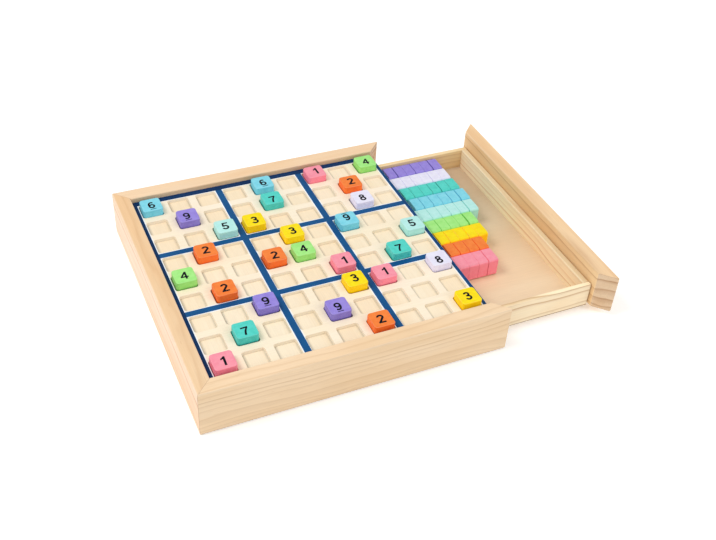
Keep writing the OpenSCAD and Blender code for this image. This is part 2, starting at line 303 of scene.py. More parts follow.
def panel(name, grain, seed, pale, deep, streak, rough=0.5, layers=None, figured=0.55, outlined=None, corners=None, shade_along_y=None,
          wall_shade_tint=None):
    """Thin plywood: soft, close, low-contrast figure; glued layers show on its edges."""
    s = Surface(name)
    turn = (0, 0, 0) if grain == "X" else (0, 0, -math.pi / 2)
    q = s.mapping(s.coord, loc=(seed * 0.83, seed * 0.41, seed * 0.17), rot=turn)
    broad = s.noise(s.mapping(q, scale=(4, 16, 16)), 1.0, 3.0, 0.5, 0.4)
    figure = s.noise(s.mapping(q, scale=(9, 210, 210)), 1.0, 4.0, 0.55, 0.5)
    fibre = s.noise(s.mapping(q, scale=(60, 1600, 1600)), 1.0, 2.0, 0.6)
    col = s.mix(s.span(broad, 0.35, 0.65, 0, 1, True), pale, deep)
    col = s.mix(s.span(figure, 0.48, 0.76, 0, figured, True), col, streak)
    col = s.mix(1.0, col, s.ramp(fibre, [(0.25, 0.95), (0.75, 1.03)]), "MULTIPLY")
    if layers:
        z0, step = layers
        z = s.math("MULTIPLY", s.math("SUBTRACT", s.xyz(s.coord)[2], z0 * MM), 1.0 / (step * MM))
        band = s.ramp(s.math("FRACT", z), [(0.0, 0.0), (0.48, 0.0), (0.52, 1.0), (1.0, 1.0)])
        upright = s.math("ABSOLUTE", s.xyz(s.normal())[2])
        edge = s.span(upright, 0.4, 0.7, 1, 0, True)
        col = s.mix(s.math("MULTIPLY", edge, s.span(band, 0, 1, 0.10, 0.55)), col, streak)
    if corners:
        # painted shade: the pocket floor is darkened near the pocket walls, reaching furthest from the left wall,
        # standing in for the walls' shadow
        x, y = s.xyz(s.coord)[:2]

        def from_middle(v, shift):
            t = s.math("ADD", s.math("MULTIPLY", s.math("SUBTRACT", v, shift * MM), 1.0 / (CELL * MM)), 20.5)
            return s.math("MULTIPLY", s.math("SUBTRACT", s.math("FRACT", t), 0.5), CELL)

        across, away = from_middle(x, POCKET_X), from_middle(y, SHIFT_Y)
        wall_shade_reach = s.math("MAXIMUM", s.math("MAXIMUM", across, s.math("SUBTRACT", 1.3, across)),
                       s.math("SUBTRACT", s.math("ABSOLUTE", away), 1.0))
        col = s.mix(s.span(wall_shade_reach, POCKET / 2 - 2.2, POCKET / 2 - 0.2, 0, 1, True), col, s.mix(1.0, col, corners, "MULTIPLY"))
    if shade_along_y:
        # painted shade: a slow change of tone along y, coming in towards the high end, standing in for the shade at the
        # back of the drawer
        low, high, tone = shade_along_y
        col = s.mix(s.span(s.xyz(s.coord)[1], low * MM, high * MM, 0, 1, True), col, s.mix(1.0, col, tone, "MULTIPLY"))
    if wall_shade_tint:
        # painted shade: the upright faces take a cooler tint, standing in for the grey shade on the pocket walls
        upright = s.math("ABSOLUTE", s.xyz(s.normal())[2])
        col = s.mix(s.span(upright, 0.3, 0.8, 1, 0, True), col, s.mix(1.0, col, wall_shade_tint, "MULTIPLY"))
    if outlined:
        # white outline printed beside the blue lines, on the upper face only
        x, y, z = s.xyz(s.coord)

        def beside(v, lines, lows, highs):
            mid, far = (lines[0] + lines[1]) / 2, (lines[1] - lines[0]) / 2
            off = s.math("ABSOLUTE", s.math("SUBTRACT", s.math("ABSOLUTE", s.math("SUBTRACT", v, mid * MM)), far * MM))
            near = s.span(off, (BAR + RIM - 0.1) * MM, (BAR + RIM + 0.1) * MM, 1, 0)
            near = s.math("MAXIMUM", near, s.span(v, (lows - 0.1) * MM, (lows + 0.1) * MM, 1, 0))
            return s.math("MAXIMUM", near, s.span(v, (highs - 0.1) * MM, (highs + 0.1) * MM, 0, 1))

        print_x = beside(x, INNER_X, LEFT + 0.8, RIGHT[0] - 0.8)
        print_y = beside(y, INNER_Y, FRONT + 0.5, BACK - 0.5)
        upper = s.span(z, (BOARD_TOP - 0.5) * MM, (BOARD_TOP - 0.3) * MM, 0, 1)
        col = s.mix(s.math("MULTIPLY", s.math("MAXIMUM", print_x, print_y), upper), col,
                    s.mix(s.span(broad, 0.35, 0.65, 0, 1, True), *outlined))
    s.set(Base_Color=col)
    s.set(Roughness=s.span(fibre, 0.2, 0.8, rough - 0.06, rough + 0.08))
    s.bsdf.inputs["Specular IOR Level"].default_value = 0.30
    s.bump(s.math("ADD", fibre, s.math("MULTIPLY", figure, 0.6)), 0.16, 0.0001)
    return s.mat


def paint(name, face, shade, seed, side_shading, gloss=0.40):
    """Brushed-on matt paint over wood: faint fibre lines, mottling, paler edges from wear and a painted highlight, and
    painted light and shade on the sides and at a seated tile's foot.
    """
    s = Surface(name)
    q = s.mapping(s.coord, loc=(seed * 0.37, seed * 0.71, seed * 0.53))
    mottle = s.noise(q, 260.0, 3.0, 0.55)
    grit = s.noise(q, 2600.0, 2.0, 0.6)
    fibre = s.noise(s.mapping(q, scale=(180, 1900, 900)), 1.0, 3.0, 0.55)
    col = s.mix(s.span(mottle, 0.30, 0.72, 0, 1, True), face, shade)
    col = s.mix(1.0, col, s.ramp(fibre, [(0.25, 0.955), (0.75, 1.03)]), "MULTIPLY")
    col = s.mix(s.span(grit, 0.70, 0.82, 0, 0.12, True), col, (0.95, 0.93, 0.90, 1.0))
    # paler eased edges: partly wear, partly a painted highlight
    wear_and_highlight = s.math("MULTIPLY", s.rim(), s.span(mottle, 0.35, 0.65, 0.04, 0.30, True))
    col = s.mix(wear_and_highlight, col, s.mix(0.35, face, (1.0, 0.98, 0.94, 1.0)))
    # painted light and shade: the upright sides take a tone of their own, mostly deeper than the top, and a seated tile
    # is darkened below the board's face as the shade in the gap round it
    upright = s.math("ABSOLUTE", s.xyz(s.normal())[2])
    col = s.mix(s.span(upright, 0.35, 0.75, 1, 0, True), col, s.mix(1.0, col, side_shading, "MULTIPLY"))
    z = s.xyz(s.coord)[2]
    painted_foot_shade = s.math("MULTIPLY", s.span(z, 0.0344, 0.0357, 1, 0, True), s.span(z, 0.031, 0.032, 0, 1))
    col = s.mix(painted_foot_shade, col, s.mix(1.0, col, (0.58, 0.55, 0.55, 1.0), "MULTIPLY"))
    s.set(Base_Color=col)
    s.set(Roughness=s.span(mottle, 0.2, 0.8, 0.44, 0.58))
    s.bsdf.inputs["Specular IOR Level"].default_value = gloss
    s.bump(s.math("ADD", s.math("MULTIPLY", fibre, 0.8), s.math("MULTIPLY", grit, 0.4)), 0.20, 0.0001)
    return s.mat


def ink(name, face, shade, seed, rough=0.45, border_shade=None):
    """A printed film: nearly even, a little starved in places."""
    s = Surface(name)
    q = s.mapping(s.coord, loc=(seed * 0.9, seed * 0.3, seed * 0.7))
    cloud = s.noise(q, 70.0, 4.0, 0.6)
    grain = s.noise(q, 1900.0, 2.0, 0.6)
    col = s.mix(s.span(cloud, 0.30, 0.70, 0, 1, True), face, shade)
    col = s.mix(1.0, col, s.ramp(grain, [(0.2, 0.92), (0.8, 1.06)]), "MULTIPLY")
    if border_shade:
        # painted shadow: the lines along the left and back rails are darkened, standing in for the rails' shadow, and
        # the right one a little
        x, y = s.xyz(s.coord)[:2]
        edge = s.math("MAXIMUM", s.span(x, LEFT * MM, (LEFT + 0.3) * MM, 1, 0), s.span(y, (BACK - 0.3) * MM, BACK * MM, 0, 1))
        edge = s.math("MAXIMUM", edge, s.span(x, (RIGHT[0] - 0.4) * MM, (RIGHT[0] - 0.2) * MM, 0, 0.5, True))
        col = s.mix(edge, col, s.mix(1.0, col, border_shade, "MULTIPLY"))
    s.set(Base_Color=col)
    s.set(Roughness=s.span(grain, 0.2, 0.8, rough - 0.06, rough + 0.10))
    s.bsdf.inputs["Specular IOR Level"].default_value = 0.12
    s.bump(grain, 0.12, 0.00005)
    return s.mat


def steel(name):
    """Drawn and cut steel pin: fine turning marks and a few dull spots."""
    s = Surface(name)
    marks = s.noise(s.mapping(s.coord, scale=(3000, 3000, 400)), 1.0, 3.0, 0.6)
    spots = s.noise(s.coord, 900.0, 3.0, 0.6)
    col = s.mix(s.span(spots, 0.5, 0.75, 0, 1, True), (0.56, 0.56, 0.57, 1), (0.33, 0.31, 0.29, 1))
    s.set(Base_Color=col)
    s.bsdf.inputs["Metallic"].default_value = 1.0
    s.set(Roughness=s.span(marks, 0.2, 0.8, 0.28, 0.50))
    s.bump(marks, 0.2, 0.00004)
    return s.mat


# the foot tone of some pine finishes is painted contact shade along the lowest edge of their upright faces
# the upper tone of these pine finishes is painted light and shade on their upward faces
M_FRONT = pine("pine_front_rail", "X", 1.0, lin(234, 208, 174), lin(229, 199, 160), lin(189, 149, 102),
               ring=4.9, heart=(-185.0, -62.0), wave=8.0, strength=0.85, upper=(1.12, 1.10, 1.09, 1.0),
               painted_foot_shade=(0.3, 1.5, (0.55, 0.55, 0.60, 1.0)))
M_BACK = pine("pine_back_rail", "X", 5.3, lin(245, 214, 178), lin(241, 202, 158), lin(205, 156, 104),
              ring=5.2, heart=(140.0, -120.0))
M_LEFT = pine("pine_left_rail", "Y", 9.1, lin(247, 220, 194), lin(245, 208, 173), lin(200, 144, 93),
              ring=6.5, heart=(78.0, -40.0), wave=7.0, strength=0.75, upper=(0.95, 0.91, 0.76, 1.0))
M_FASCIA = pine("pine_fascia", "Y", 13.7, lin(245, 212, 164), lin(238, 197, 144), lin(179, 125, 76),
                ring=8.2, heart=(-205.0, -170.0), wave=4.0, strength=0.95, even=0.45, ends_dark=(0.74, 0.75, 0.87, 1.0),
                ends_pale=(0.88, 0.91, 1.06, 1.0), upper=(1.09, 1.11, 1.20, 1.0), painted_foot_shade=(5.6, 6.4, (0.7, 0.68, 0.68, 1.0)))
M_WALL_F = pine("pine_drawer_front", "X", 17.9, lin(245, 228, 195), lin(243, 217, 177), lin(185, 139, 90),
                ring=6.2, heart=(-150.0, -75.0), wave=8.0, strength=1.0, even=0.42, upper=(1.16, 1.18, 1.15, 1.0),
                painted_foot_shade=(4.2, 5.8, (0.40, 0.39, 0.43, 1.0)))
M_WALL_B = pine("pine_drawer_back", "X", 21.2, lin(250, 225, 177), lin(242, 208, 153), lin(200, 153, 100),
                ring=4.8, heart=(112.0, -70.0), wave=6.0, strength=0.9)
M_WALL_E = pine("pine_drawer_end", "Y", 25.6, lin(255, 239, 203), lin(255, 230, 188), lin(213, 160, 107),
                ring=5.0, heart=(-180.0, -80.0), wave=6.0, strength=0.8, upper=(0.88, 0.85, 0.80, 1.0))
M_STRIP = pine("pine_support_strip", "X", 29.4, lin(236, 208, 164), lin(228, 194, 146), lin(188, 144, 96),
               ring=3.8, heart=(40.0, -60.0))
M_BASE = panel("plywood_base", "X", 2.0, lin(232, 204, 162), lin(224, 192, 148), lin(196, 156, 110), layers=(0.0, 1.2))
# the tone along y of the drawer floor is painted shade towards its back
M_FLOOR = panel("plywood_drawer_floor", "X", 6.0, lin(245, 221, 188), lin(240, 212, 176), lin(223, 190, 149),
                layers=(4.0, 1.13), figured=0.10, shade_along_y=(-60.0, 60.0, (0.73, 0.72, 0.71, 1.0)))
# the corners tone of the pocket floor is painted shade near the pocket walls
M_POCKET = panel("plywood_pocket_floor", "Y", 11.0, lin(248, 233, 206), lin(246, 226, 194), lin(236, 211, 175),
                 layers=(29.3, 1.1), figured=0.25, corners=(0.74, 0.77, 0.80, 1.0))
# the upright-face tint of the grid sheet is painted shade on the pocket walls
M_SHEET = panel("lacquered_grid_sheet", "X", 15.0, lin(252, 238, 215), lin(251, 235, 206), lin(246, 224, 190),
                rough=0.42, figured=0.25, wall_shade_tint=(0.98, 1.02, 1.10, 1.0), outlined=(lin(246, 252, 255), lin(243, 248, 250)))
# the border tone of the blue print is painted shadow along the rails
M_BLUE = ink("printed_blue", lin(20, 87, 142), lin(16, 78, 131), 3.0, border_shade=(0.34, 0.38, 0.48, 1.0))
M_NAVY = ink("numeral_ink", lin(10, 14, 26), lin(7, 10, 20), 4.0, rough=0.40)
M_STEEL = steel("pin_steel")
TINT = {
    1: (lin(248, 154, 170), lin(244, 141, 160)), 2: (lin(246, 132, 50), lin(240, 118, 39)),
    3: (lin(250, 228, 5), lin(246, 215, 2)), 4: (lin(168, 237, 135), lin(154, 229, 121)),
    5: (lin(187, 237, 232), lin(175, 231, 224)), 6: (lin(132, 217, 234), lin(116, 207, 226)),
    7: (lin(83, 214, 201), lin(69, 203, 188)), 8: (lin(234, 233, 248), lin(226, 223, 244)),
    9: (lin(153, 138, 221), lin(143, 124, 213)),
}
# painted light and shade: the tone each tint takes on the tiles' upright sides
TILE_SIDE_SHADING = {1: (1.18, 0.94, 1.02), 2: (1.15, 0.84, 0.6), 3: (1.22, 1.02, 0.3), 4: (0.97, 1.05, 0.9), 5: (0.97, 1.08, 1.08),
         6: (0.85, 1.03, 1.10), 7: (0.82, 0.97, 1.03), 8: (1.10, 1.07, 1.15), 9: (0.84, 0.84, 0.97)}
M_TILE = {n: paint("tile_paint_%d" % n, a, b, n * 3.3, TILE_SIDE_SHADING[n] + (1.0,), 0.22 if n == 3 else 0.40)
          for n, (a, b) in TINT.items()}


# ---------------------------------------------------------------- mesh helpers
def to_piece(name, bm, mat, body, nodes=(), angle=38.0):
    """Turns a closed bmesh, in mm, into a piece riding on a body."""
    bmesh.ops.scale(bm, vec=(MM, MM, MM), verts=bm.verts)
    bmesh.ops.recalc_face_normals(bm, faces=bm.faces)
    mesh = bpy.data.meshes.new(name)
    bm.to_mesh(mesh)
    bm.free()
    mesh.polygons.foreach_set("use_smooth", [True] * len(mesh.polygons))
    mesh.set_sharp_from_angle(angle=math.radians(angle))
    mesh.materials.append(mat)
    ob = bpy.data.objects.new(name, mesh)
    bpy.context.scene.collection.objects.link(ob)
    even = ob.modifiers.new("even_flats", "WEIGHTED_NORMAL")
    even.keep_sharp = True
    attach(ob, body)
    if nodes:
        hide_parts(*nodes)
    return ob


def rounded(corners, seg=5):
    """A section from corners (u, v, radius), anticlockwise, with its corners rounded."""
    pts, n = [], len(corners)
    for i, (u, v, r) in enumerate(corners):
        p = Vector((u, v))
        if r <= 0:
            pts.append(p)
            continue
        a = (Vector(corners[i - 1][:2]) - p).normalized()
        b = (Vector(corners[(i + 1) % n][:2]) - p).normalized()
        half = a.angle(b) / 2
        back = r / math.tan(half)
        centre = p + (a + b).normalized() * (r / math.sin(half))
        s, e = p + a * back - centre, p + b * back - centre
        turn = math.atan2(s.x * e.y - s.y * e.x, s.dot(e))
        for k in range(seg + 1):
            t = turn * k / seg
            c, d = math.cos(t), math.sin(t)
            pts.append(centre + Vector((s.x * c - s.y * d, s.x * d + s.y * c)))
    return pts


def inset(pts, d):
    """The section drawn in by d all round."""
    out, n = [], len(pts)
    for i, p in enumerate(pts):
        a, b = pts[i] - pts[i - 1], pts[(i + 1) % n] - pts[i]
        na, nb = Vector((-a.y, a.x)).normalized(), Vector((-b.y, b.x)).normalized()
        m = na + nb
        out.append(p + m * (d / max(0.25, 1 + na.dot(nb))))
    return out


def bar(section, start, end, place, soft0=0.4, soft1=0.4, split=None):
    """A bar of one section with eased ends. start and end give where it ends at each u,
    place turns (along, u, v) into x, y, z, and split names the u where a cap folds."""
    bm = bmesh.new()
    rim = bm.verts.layers.float.new("rim")
    loops = []
    m = len(section)
    eased = []
    for i in range(m):
        a, b = section[i] - section[i - 1], section[(i + 1) % m] - section[i]
        eased.append(1.0 if a.angle(b, 0.0) > math.radians(12) else 0.0)

    def loop(pts, at, shift, worn=None):
        ring = [bm.verts.new(place(at(p.x) + shift, p.x, p.y)) for p in pts]
        for v, e in zip(ring, eased):
            v[rim] = e if worn is None else max(e, worn)
        loops.append(ring)

    def cap_loops(at, soft, sign):
        rows = []
        for k in range(3):
            t = k / 2 * math.pi / 2
            rows.append((soft * (1 - math.cos(t)), sign * soft * (1 - math.sin(t)), 1.0 if k == 1 else 0.0))
        return rows

    for d, s, worn in reversed(cap_loops(start, soft0, 1)):
        loop(inset(section, d), start, s, worn)
    for d, s, worn in cap_loops(end, soft1, -1):
        loop(inset(section, d), end, s, worn)
    n = len(section)
    for a, b in zip(loops, loops[1:]):
        for i in range(n):
            j = (i + 1) % n
            bm.faces.new((a[i], a[j], b[j], b[i]))
    for ring in (loops[0], loops[-1]):
        if split is None:
            bm.faces.new(ring)
        else:
            tip = [i for i in range(n) if section[i].x <= split + 1e-6]
            # the tip's points run on round the section's start
            order = sorted(tip, key=lambda i: (i - tip_start(section, split)) % n)
            rest = [order[-1]] + [i for i in ((order[-1] + 1 + k) % n for k in range(n - len(order)))] + [order[0]]
            bm.faces.new([ring[i] for i in order])
            bm.faces.new([ring[i] for i in rest])
    return bm


def tip_start(section, split):
    n = len(section)
    for i in range(n):
        if section[i].x <= split + 1e-6 and section[i - 1].x > split + 1e-6:
            return i
    return 0


def along_x(x, u, v):
    return (x, u, v)


# ---------------------------------------------------------------- rails and fascia
EASE, TIP = 1.25, 1.25


def rail_section(z0, rebate, trim=0.0):
    # trim: how much a rail with a rebate steps back above the board, or how much thinner a plain one is
    t = RAIL_T - trim
    if rebate:
        step = [(RAIL_T, BOARD_TOP - 1.0, 0.0), (t, BOARD_TOP - 1.0, 0.0)] if trim else []
        return rounded([(0, z0, EASE), (RAIL_T - 6.0, z0, 0.25), (RAIL_T - 6.0, BASE_T, 0.2), (RAIL_T, BASE_T, 0.3)] +
                       step + [(t, RAIL_H, EASE), (0, RAIL_H, EASE)])
    return rounded([(0, z0, EASE), (t, z0, EASE), (t, RAIL_H, EASE), (0, RAIL_H, EASE)])


def glued(sign):
    return lambda u: sign * (HALF - u - 0.02)


def open_mitre(sign, gap):
    return lambda u: sign * (HALF - gap - max(u, TIP))


def front_place(x, u, z):
    return (x, -HALF + u, z)


def back_place(x, u, z):
    return (x, HALF - u, z)


def left_place(x, u, z):
    return (-HALF + u, -x, z)


def fascia_place(x, u, z):
    return (HALF - 0.5 - u + PULL, x, z)


to_piece("rail_front_pine", bar(rail_section(0, True), glued(-1), open_mitre(1, 0.4), front_place, 0.28, 0.5, TIP),
         M_FRONT, "frame", ["rail_front"])
to_piece("rail_back_pine", bar(rail_section(0, True), glued(-1), open_mitre(1, 0.4), back_place, 0.28, 0.5, TIP),
         M_BACK, "frame", ["rail_back"])
to_piece("rail_left_pine", bar(rail_section(0, True, 0.5), glued(-1), glued(1), left_place, 0.28, 0.28),
         M_LEFT, "frame", ["rail_left"])
to_piece("fascia_pine", bar(rail_section(FASCIA_Z, False, 0.5), open_mitre(-1, 0.5), open_mitre(1, 0.5), fascia_place,
                            0.6, 0.6, TIP),
         M_FASCIA, "drawer", ["drawer_fascia"])


# ---------------------------------------------------------------- base, strips, backing
def base_panel():
    """The base, with a small countersink round each pin head."""
    x0, x1, y = -OPEN - 6.0 + 0.05, OPEN, OPEN + 6.0 - 0.05
    e, r, n = OPEN + 3.0, 1.55, 20
    pins = [(-OPEN * 0.8 + i * OPEN * 0.52, s * e) for s in (-1, 1) for i in range(4)]
    pins += [(-e, i * OPEN * 0.6) for i in (-1, 0, 1)]
    c = 0.25
    pts = [Vector(p) for p in ((x0 + c, -y + c), (x1 - c, -y + c), (x1 - c, y - c), (x0 + c, y - c))]
    faces = [[0, 1, 2, 3]]
    for px, py in pins:
        k = len(pts)
        pts += [Vector((px + r * math.cos(2 * math.pi * i / n), py + r * math.sin(2 * math.pi * i / n))) for i in range(n)]
        faces.append(list(range(k, k + n)))
    edges = [(f[i], f[(i + 1) % len(f)]) for f in faces for i in range(len(f))]
    got = delaunay_2d_cdt(pts, edges, faces, 0, 1e-6)
    bm = bmesh.new()
    low = [bm.verts.new((p.x, p.y, 0.0)) for p in got[0]]

    def in_hole(tri):
        m = (got[0][tri[0]] + got[0][tri[1]] + got[0][tri[2]]) / 3
        return any((m - Vector(p)).length < r * 0.999 for p in pins)

    for tri in got[2]:
        if not in_hole(tri):
            bm.faces.new([low[i] for i in tri])
    index = {(round(p.x, 4), round(p.y, 4)): i for i, p in enumerate(got[0])}
    for f in faces[1:]:
        ring = [low[index[(round(pts[i].x, 4), round(pts[i].y, 4))]] for i in f]
        centre = sum((pts[i] for i in f), Vector((0, 0))) / n
        deep = [bm.verts.new((centre.x + (v.co.x - centre.x) * 0.88, centre.y + (v.co.y - centre.y) * 0.88, 0.34)) for v in ring]
        for i in range(n):
            j = (i + 1) % n
            bm.faces.new((ring[i], ring[j], deep[j], deep[i]))
        bm.faces.new(deep)
    edge = [low[index[(round(p.x, 4), round(p.y, 4))]] for p in pts[:4]]
    outer = ((x0, -y), (x1, -y), (x1, y), (x0, y))
    mid0 = [bm.verts.new((a, b, c)) for a, b in outer]
    mid1 = [bm.verts.new((a, b, BASE_T - c)) for a, b in outer]
    top = [bm.verts.new((p.x, p.y, BASE_T)) for p in pts[:4]]
    for a, b in ((edge, mid0), (mid0, mid1), (mid1, top)):
        for i in range(4):
            j = (i + 1) % 4
            bm.faces.new((a[i], a[j], b[j], b[i]))
    bm.faces.new(top)
    return bm


to_piece("base_plywood", base_panel(), M_BASE, "frame", ["base_panel"], 30)


def box_bar(x0, x1, y0, y1, z0, z1, r, soft, axis="X"):
    if axis == "X":
        sec = rounded([(y0, z0, r), (y1, z0, r), (y1, z1, r), (y0, z1, r)], 3)
        return bar(sec, lambda u: x0, lambda u: x1, along_x, soft, soft)
    sec = rounded([(-x1, z0, r), (-x0, z0, r), (-x0, z1, r), (-x1, z1, r)], 3)
    return bar(sec, lambda u: y0, lambda u: y1, lambda a, u, v: (-u, a, v), soft, soft)


to_piece("strip_left_pine", box_bar(-OPEN, -OPEN + CLEAT_T, -OPEN + CLEAT_T, OPEN - CLEAT_T, BASE_T, BACKING_BOTTOM, 0.3, 0.3, "Y"),
         M_STRIP, "frame", ["cleat_left"])
to_piece("strip_front_pine", box_bar(-OPEN, BOARD_RIGHT, -OPEN, -OPEN + CLEAT_T, BASE_T, BACKING_BOTTOM, 0.3, 0.3),
         M_STRIP, "frame", ["cleat_front"])
to_piece("strip_back_pine", box_bar(-OPEN, BOARD_RIGHT, OPEN - CLEAT_T, OPEN, BASE_T, BACKING_BOTTOM, 0.3, 0.3),
         M_STRIP, "frame", ["cleat_back"])
to_piece("board_backing_ply", box_bar(-OPEN, BOARD_RIGHT, -OPEN, OPEN, BACKING_BOTTOM, POCKET_FLOOR, 0.2, 0.2),
         M_POCKET, "frame", ["board_backing"])


# ---------------------------------------------------------------- grid sheet with 81 pockets
def round_square(cx, cy, h, r, seg=5):
    pts = []
    for k, (sx, sy) in enumerate(((1, 1), (-1, 1), (-1, -1), (1, -1))):
        for i in range(seg + 1):
            a = math.pi / 2 * (k + i / seg)
            pts.append((cx + sx * (h - r) + r * math.cos(a), cy + sy * (h - r) + r * math.sin(a)))
    return pts


def grid_sheet():
    bm = bmesh.new()
    seg, rc, lip = 5, 2.1, 0.22
    z0, z1 = POCKET_FLOOR, BOARD_TOP
    xs = [-OPEN] + [(i - 4.5) * CELL + POCKET_X for i in range(1, 9)] + [BOARD_RIGHT]
    ys = [-OPEN] + [(j - 4.5) * CELL + SHIFT_Y for j in range(1, 9)] + [OPEN]
    ease = 0.25
    top_xs = xs[:-1] + [BOARD_RIGHT - ease]
    top = [[bm.verts.new((x, y, z1)) for x in top_xs] for y in ys]
    low = [[bm.verts.new((x, y, z0)) for x in xs] for y in ys]

    def frame_faces(c, ring, flip):
        # c: corners (+,+), (-,+), (-,-), (+,-); ring: the pocket's loop from its (+,+) corner
        n = seg + 1
        for k in range(4):
            arc = ring[k * n:(k + 1) * n]
            for a, b in zip(arc, arc[1:]):
                bm.faces.new((c[k], b, a) if not flip else (c[k], a, b))
            nxt = ring[((k + 1) * n) % (4 * n)]
            quad = (c[k], c[(k + 1) % 4], nxt, arc[-1])
            bm.faces.new(quad)

    for j in range(9):
        for i in range(9):
            cx, cy, h = (i - 4) * CELL + POCKET_X, (j - 4) * CELL + SHIFT_Y, POCKET / 2
            rings = []
            for k in range(5):
                t = k / 4 * math.pi / 2
                d = lip * (1 - math.sin(t))
                z = z1 - lip * (1 - math.cos(t))
                rings.append([bm.verts.new((x, y, z)) for x, y in round_square(cx, cy, h + d, rc + d, seg)])
            rings.append([bm.verts.new((x, y, z0)) for x, y in round_square(cx, cy, h, rc, seg)])
            for a, b in zip(rings, rings[1:]):
                for k in range(len(a)):
                    m = (k + 1) % len(a)
                    bm.faces.new((a[k], a[m], b[m], b[k]))
            frame_faces((top[j + 1][i + 1], top[j + 1][i], top[j][i], top[j][i + 1]), rings[0], False)
            frame_faces((low[j + 1][i + 1], low[j + 1][i], low[j][i], low[j][i + 1]), rings[-1], True)
    side = [bm.verts.new((BOARD_RIGHT, y, z1 - ease)) for y in ys]
    for j in range(9):
        bm.faces.new((top[j][0], top[j + 1][0], low[j + 1][0], low[j][0]))
        bm.faces.new((top[j][9], top[j + 1][9], side[j + 1], side[j]))
        bm.faces.new((side[j], side[j + 1], low[j + 1][9], low[j][9]))
    for i in range(9):
        for j in (0, 9):
            if i < 8:
                bm.faces.new((top[j][i], top[j][i + 1], low[j][i + 1], low[j][i]))
            else:
                bm.faces.new((top[j][8], top[j][9], side[j], low[j][9], low[j][8]))
    return bm


to_piece("grid_sheet_lacquered", grid_sheet(), M_SHEET, "frame", ["grid_sheet"], 30)


def strips(xs, ys, z0, z1):
    """A closed film over the union of upright strips xs and cross strips ys, each (low, high)."""
    bx = sorted({v for s in xs for v in s} | {-OPEN, BOARD_RIGHT - 0.5})
    by = sorted({v for s in ys for v in s} | {-OPEN, OPEN})

    def inside(i, j):
        if not (0 <= i < len(bx) - 1 and 0 <= j < len(by) - 1):
            return False
        x, y = (bx[i] + bx[i + 1]) / 2, (by[j] + by[j + 1]) / 2
        return any(a < x < b for a, b in xs) or any(a < y < b for a, b in ys)

    bm = bmesh.new()
    made = {}

    def vert(i, j, k):
        if (i, j, k) not in made:
            made[(i, j, k)] = bm.verts.new((bx[i], by[j], z1 if k else z0))
        return made[(i, j, k)]

    for i in range(len(bx) - 1):
        for j in range(len(by) - 1):
            if not inside(i, j):
                continue
            for k in (0, 1):
                bm.faces.new((vert(i, j, k), vert(i + 1, j, k), vert(i + 1, j + 1, k), vert(i, j + 1, k)))
            for di, dj, a, b in ((-1, 0, (i, j), (i, j + 1)), (1, 0, (i + 1, j), (i + 1, j + 1)),
                                 (0, -1, (i, j), (i + 1, j)), (0, 1, (i, j + 1), (i + 1, j + 1))):
                if not inside(i + di, j + dj):
                    bm.faces.new((vert(*a, 0), vert(*b, 0), vert(*b, 1), vert(*a, 1)))
    return bm


blue_x = [(-OPEN, LEFT)] + [(c - BAR, c + BAR) for c in INNER_X] + [RIGHT]
blue_y = [(-OPEN, FRONT)] + [(c - BAR, c + BAR) for c in INNER_Y] + [(BACK, OPEN)]
to_piece("print_blue_lines", strips(blue_x, blue_y, BOARD_TOP, BOARD_TOP + 0.05), M_BLUE, "frame")


# ---------------------------------------------------------------- drawer
def wall_section(t, r=0.7, groove=False):
    # u from the outer face inwards, with the floor's rebate at the inner bottom corner and,
    # where a wall meets the fascia, a narrow step along its upper edge
    head = [(1.0, DRAWER_TOP, 0.35), (1.0, DRAWER_TOP - 3.0, 0.0), (0, DRAWER_TOP - 3.0, 0.0)] if groove else [(0, DRAWER_TOP, r)]
    return rounded([(0, DRAWER_Z, 0.5), (t - 2.0, DRAWER_Z, 0.15), (t - 2.0, FLOOR_TOP, 0.0), (t, FLOOR_TOP, 0.2),
                    (t, DRAWER_TOP, r)] + head, 4)


to_piece("drawer_front_pine", bar(wall_section(4.0), lambda u: DRAWER_L, lambda u: DRAWER_R - 0.7,
                                  lambda a, u, v: (a, -SIDE_Y + u, v), 0.5, 0.6),
         M_WALL_F, "drawer", ["drawer_front_wall"])
to_piece("drawer_back_pine", bar(wall_section(4.0), lambda u: DRAWER_L, lambda u: DRAWER_R - 0.7,
                                 lambda a, u, v: (a, SIDE_Y - u, v), 0.5, 0.6),
         M_WALL_B, "drawer", ["drawer_back_wall"])
END_Y = SIDE_Y - 4.0
to_piece("drawer_inner_pine", bar(wall_section(4.0), lambda u: -END_Y + 0.02, lambda u: END_Y - 0.02,
                                  lambda a, u, v: (DRAWER_L + u, a, v), 0.25, 0.25),
         M_WALL_E, "drawer", ["drawer_inner_wall"])
to_piece("drawer_outer_pine", bar(wall_section(5.96, 0.7, True), lambda u: -END_Y + 0.02, lambda u: END_Y - 0.02,
                                  lambda a, u, v: (DRAWER_R - 0.04 - u, a, v), 0.25, 0.25),
         M_WALL_E, "drawer", ["drawer_outer_wall"])
FY = END_Y + 2.0 - 0.03
to_piece("drawer_floor_ply", box_bar(DRAWER_L + 2.03, DRAWER_R - 4.03, -FY, FY, DRAWER_Z, FLOOR_TOP, 0.2, 0.2),
         M_FLOOR, "drawer", ["drawer_floor"])


# ---------------------------------------------------------------- tiles
def tile_rings(w, t, r, top, bottom):
    """Loops (half width, corner radius, z) of a tile lying flat, its edges rounded over."""
    out = []
    for k in range(4):
        a = k / 3 * math.pi / 2
        d = bottom * (1 - math.sin(a))
        out.append((w / 2 - d, r - d * 0.6, bottom * (1 - math.cos(a))))
    for k in range(6):
        a = k / 5 * math.pi / 2
        d = top * (1 - math.cos(a))
        out.append((w / 2 - d, r - d * 0.6, t - top + top * math.sin(a)))
    return out


